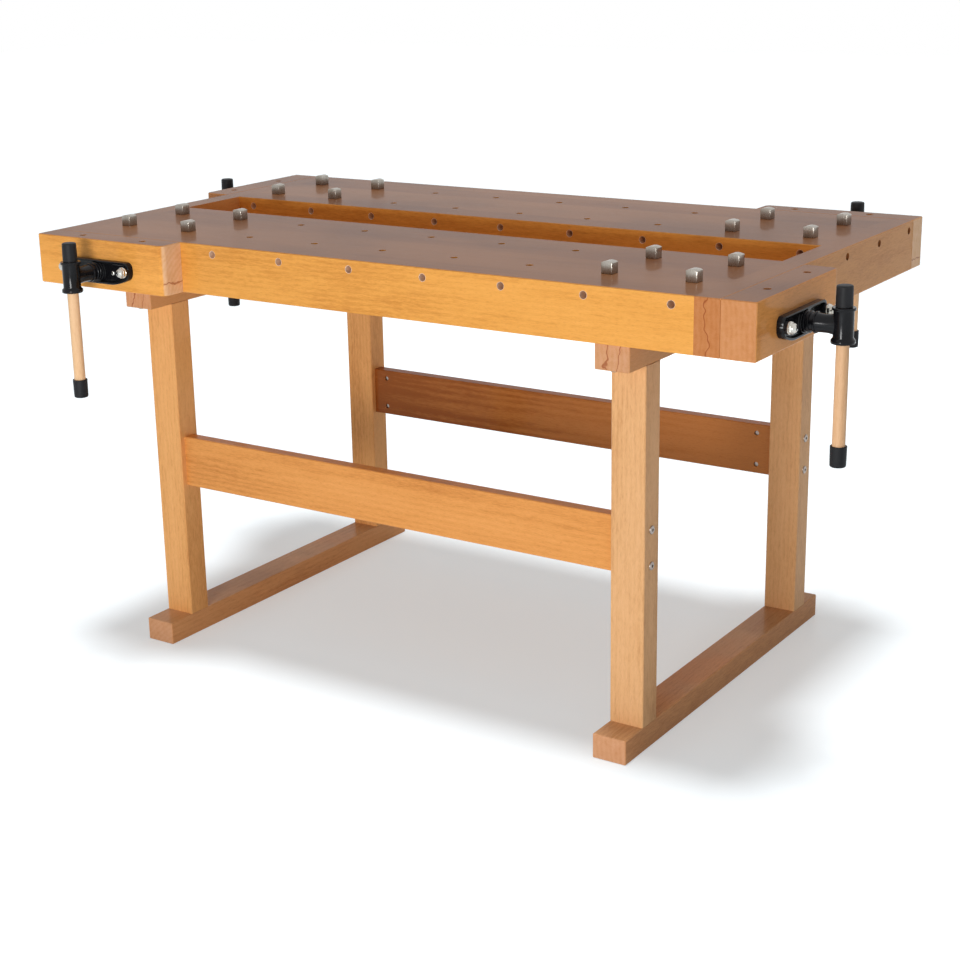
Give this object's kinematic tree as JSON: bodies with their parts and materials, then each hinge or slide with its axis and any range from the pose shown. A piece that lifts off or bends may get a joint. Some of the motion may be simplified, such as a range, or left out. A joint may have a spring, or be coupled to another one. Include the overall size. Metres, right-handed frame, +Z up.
{
  "type": "woodworking bench",
  "caption": "Beech woodworking bench with a sunk tool well, dog holes and metal dogs, trestle legs with rails, and a screw vise with a sliding bar handle at each corner.",
  "frame": {"origin": "on the floor, under the middle of the top", "axes": "+X along the bench to the right, +Y to the back, +Z up; the front-left vise opens to -Y"},
  "size_m": [1.8012, 1.1552, 0.882],
  "materials": {
    "top_beech": "gloss varnish",
    "frame_beech": "gloss varnish",
    "jaw_beech": "gloss varnish",
    "bearer_beech": "satin varnish",
    "leg_beech": "satin varnish",
    "foot_beech": "satin varnish",
    "rail_beech": "satin varnish",
    "well_panel": "satin varnish",
    "handle_beech": "oiled",
    "black_casting": "gloss black paint",
    "guide_iron": "black paint",
    "bright_steel": "polished",
    "bolt_steel": "zinc plated",
    "dog_nickel": "satin nickel",
    "black_plastic": "matte"
  },
  "bodies": {
    "bench": {"top_plank_front": "top_beech", "top_plank_back": "top_beech", "apron_front": "frame_beech", "apron_back": "frame_beech", "end_board_left": "frame_beech", "end_board_right": "frame_beech", "well_bottom": "well_panel", "bearer_left": "bearer_beech", "bearer_right": "bearer_beech", "foot_left": "foot_beech", "foot_right": "foot_beech", "leg_front_left": "leg_beech", "leg_front_right": "leg_beech", "leg_back_left": "leg_beech", "leg_back_right": "leg_beech", "rail_front": "rail_beech", "rail_back": "rail_beech", "frame_bolts": "bolt_steel", "barrel_nuts": "bolt_steel", "vise_guide_blocks": "guide_iron"},
    "vise_front_left": {"jaw_front_left": "jaw_beech", "plate_front_left": "black_casting", "guide_rods_front_left": "bright_steel"},
    "spindle_front_left": {"screw_front_left": "black_casting"},
    "lever_front_left": {"handle_front_left": "handle_beech", "handle_caps_front_left": "black_plastic"},
    "vise_right_front": {"jaw_right_front": "jaw_beech", "plate_right_front": "black_casting", "guide_rods_right_front": "bright_steel"},
    "spindle_right_front": {"screw_right_front": "black_casting"},
    "lever_right_front": {"handle_right_front": "handle_beech", "handle_caps_right_front": "black_plastic"},
    "vise_back_right": {"jaw_back_right": "jaw_beech", "plate_back_right": "black_casting", "guide_rods_back_right": "bright_steel"},
    "spindle_back_right": {"screw_back_right": "black_casting"},
    "lever_back_right": {"handle_back_right": "handle_beech", "handle_caps_back_right": "black_plastic"},
    "vise_left_back": {"jaw_left_back": "jaw_beech", "plate_left_back": "black_casting", "guide_rods_left_back": "bright_steel"},
    "spindle_left_back": {"screw_left_back": "black_casting"},
    "lever_left_back": {"handle_left_back": "handle_beech", "handle_caps_left_back": "black_plastic"},
    "dog_front_left_outer_end": {"dog_front_left_outer_end": "dog_nickel"},
    "dog_front_left_outer_mid": {"dog_front_left_outer_mid": "dog_nickel"},
    "dog_front_left_inner_end": {"dog_front_left_inner_end": "dog_nickel"},
    "dog_front_left_inner_mid": {"dog_front_left_inner_mid": "dog_nickel"},
    "dog_front_right_outer_mid": {"dog_front_right_outer_mid": "dog_nickel"},
    "dog_front_right_outer_end": {"dog_front_right_outer_end": "dog_nickel"},
    "dog_front_right_inner_mid": {"dog_front_right_inner_mid": "dog_nickel"},
    "dog_front_right_inner_end": {"dog_front_right_inner_end": "dog_nickel"},
    "dog_back_left_inner_end": {"dog_back_left_inner_end": "dog_nickel"},
    "dog_back_left_inner_mid": {"dog_back_left_inner_mid": "dog_nickel"},
    "dog_back_left_outer_end": {"dog_back_left_outer_end": "dog_nickel"},
    "dog_back_left_outer_mid": {"dog_back_left_outer_mid": "dog_nickel"},
    "dog_back_right_inner_mid": {"dog_back_right_inner_mid": "dog_nickel"},
    "dog_back_right_inner_end": {"dog_back_right_inner_end": "dog_nickel"},
    "dog_back_right_outer_mid": {"dog_back_right_outer_mid": "dog_nickel"},
    "dog_back_right_outer_end": {"dog_back_right_outer_end": "dog_nickel"}
  },
  "joints": [
    {"name": "front_left_jaw_slide", "type": "slide", "parent": "bench", "child": "vise_front_left", "axis": [0, -1, 0], "range_m": [0, 0.15]},
    {"name": "front_left_screw_turn", "type": "hinge", "parent": "vise_front_left", "child": "spindle_front_left", "pos_m": [-0.573, -0.426, 0.8], "axis": [0, -1, 0], "range_deg": [0, 9000]},
    {"name": "front_left_handle_slide", "type": "slide", "parent": "spindle_front_left", "child": "lever_front_left", "axis": [0, 0, 1], "range_m": [0, 0.1734]},
    {"name": "right_front_jaw_slide", "type": "slide", "parent": "bench", "child": "vise_right_front", "axis": [1, 0, 0], "range_m": [0, 0.15]},
    {"name": "right_front_screw_turn", "type": "hinge", "parent": "vise_right_front", "child": "spindle_right_front", "pos_m": [0.74, -0.262, 0.8], "axis": [1, 0, 0], "range_deg": [0, 9000]},
    {"name": "right_front_handle_slide", "type": "slide", "parent": "spindle_right_front", "child": "lever_right_front", "axis": [0, 0, 1], "range_m": [0, 0.1734]},
    {"name": "back_right_jaw_slide", "type": "slide", "parent": "bench", "child": "vise_back_right", "axis": [0, 1, 0], "range_m": [0, 0.15]},
    {"name": "back_right_screw_turn", "type": "hinge", "parent": "vise_back_right", "child": "spindle_back_right", "pos_m": [0.573, 0.426, 0.8], "axis": [0, 1, 0], "range_deg": [0, 9000]},
    {"name": "back_right_handle_slide", "type": "slide", "parent": "spindle_back_right", "child": "lever_back_right", "axis": [0, 0, 1], "range_m": [0, 0.1734]},
    {"name": "left_back_jaw_slide", "type": "slide", "parent": "bench", "child": "vise_left_back", "axis": [-1, 0, 0], "range_m": [0, 0.15]},
    {"name": "left_back_screw_turn", "type": "hinge", "parent": "vise_left_back", "child": "spindle_left_back", "pos_m": [-0.74, 0.262, 0.8], "axis": [-1, 0, 0], "range_deg": [0, 9000]},
    {"name": "left_back_handle_slide", "type": "slide", "parent": "spindle_left_back", "child": "lever_left_back", "axis": [0, 0, 1], "range_m": [0, 0.1734]},
    {"name": "dog_front_left_outer_end_lift", "type": "slide", "parent": "bench", "child": "dog_front_left_outer_end", "axis": [0, 0, 1], "range_m": [0, 0.03]},
    {"name": "dog_front_left_outer_mid_lift", "type": "slide", "parent": "bench", "child": "dog_front_left_outer_mid", "axis": [0, 0, 1], "range_m": [0, 0.03]},
    {"name": "dog_front_left_inner_end_lift", "type": "slide", "parent": "bench", "child": "dog_front_left_inner_end", "axis": [0, 0, 1], "range_m": [0, 0.03]},
    {"name": "dog_front_left_inner_mid_lift", "type": "slide", "parent": "bench", "child": "dog_front_left_inner_mid", "axis": [0, 0, 1], "range_m": [0, 0.03]},
    {"name": "dog_front_right_outer_mid_lift", "type": "slide", "parent": "bench", "child": "dog_front_right_outer_mid", "axis": [0, 0, 1], "range_m": [0, 0.03]},
    {"name": "dog_front_right_outer_end_lift", "type": "slide", "parent": "bench", "child": "dog_front_right_outer_end", "axis": [0, 0, 1], "range_m": [0, 0.03]},
    {"name": "dog_front_right_inner_mid_lift", "type": "slide", "parent": "bench", "child": "dog_front_right_inner_mid", "axis": [0, 0, 1], "range_m": [0, 0.03]},
    {"name": "dog_front_right_inner_end_lift", "type": "slide", "parent": "bench", "child": "dog_front_right_inner_end", "axis": [0, 0, 1], "range_m": [0, 0.03]},
    {"name": "dog_back_left_inner_end_lift", "type": "slide", "parent": "bench", "child": "dog_back_left_inner_end", "axis": [0, 0, 1], "range_m": [0, 0.03]},
    {"name": "dog_back_left_inner_mid_lift", "type": "slide", "parent": "bench", "child": "dog_back_left_inner_mid", "axis": [0, 0, 1], "range_m": [0, 0.03]},
    {"name": "dog_back_left_outer_end_lift", "type": "slide", "parent": "bench", "child": "dog_back_left_outer_end", "axis": [0, 0, 1], "range_m": [0, 0.03]},
    {"name": "dog_back_left_outer_mid_lift", "type": "slide", "parent": "bench", "child": "dog_back_left_outer_mid", "axis": [0, 0, 1], "range_m": [0, 0.03]},
    {"name": "dog_back_right_inner_mid_lift", "type": "slide", "parent": "bench", "child": "dog_back_right_inner_mid", "axis": [0, 0, 1], "range_m": [0, 0.03]},
    {"name": "dog_back_right_inner_end_lift", "type": "slide", "parent": "bench", "child": "dog_back_right_inner_end", "axis": [0, 0, 1], "range_m": [0, 0.03]},
    {"name": "dog_back_right_outer_mid_lift", "type": "slide", "parent": "bench", "child": "dog_back_right_outer_mid", "axis": [0, 0, 1], "range_m": [0, 0.03]},
    {"name": "dog_back_right_outer_end_lift", "type": "slide", "parent": "bench", "child": "dog_back_right_outer_end", "axis": [0, 0, 1], "range_m": [0, 0.03]}
  ],
  "couplings": [
    {"joint": "front_left_jaw_slide", "follows": "front_left_screw_turn", "m_per_rad": 0.00095493},
    {"joint": "right_front_jaw_slide", "follows": "right_front_screw_turn", "m_per_rad": 0.00095493},
    {"joint": "back_right_jaw_slide", "follows": "back_right_screw_turn", "m_per_rad": 0.00095493},
    {"joint": "left_back_jaw_slide", "follows": "left_back_screw_turn", "m_per_rad": 0.00095493}
  ]
}
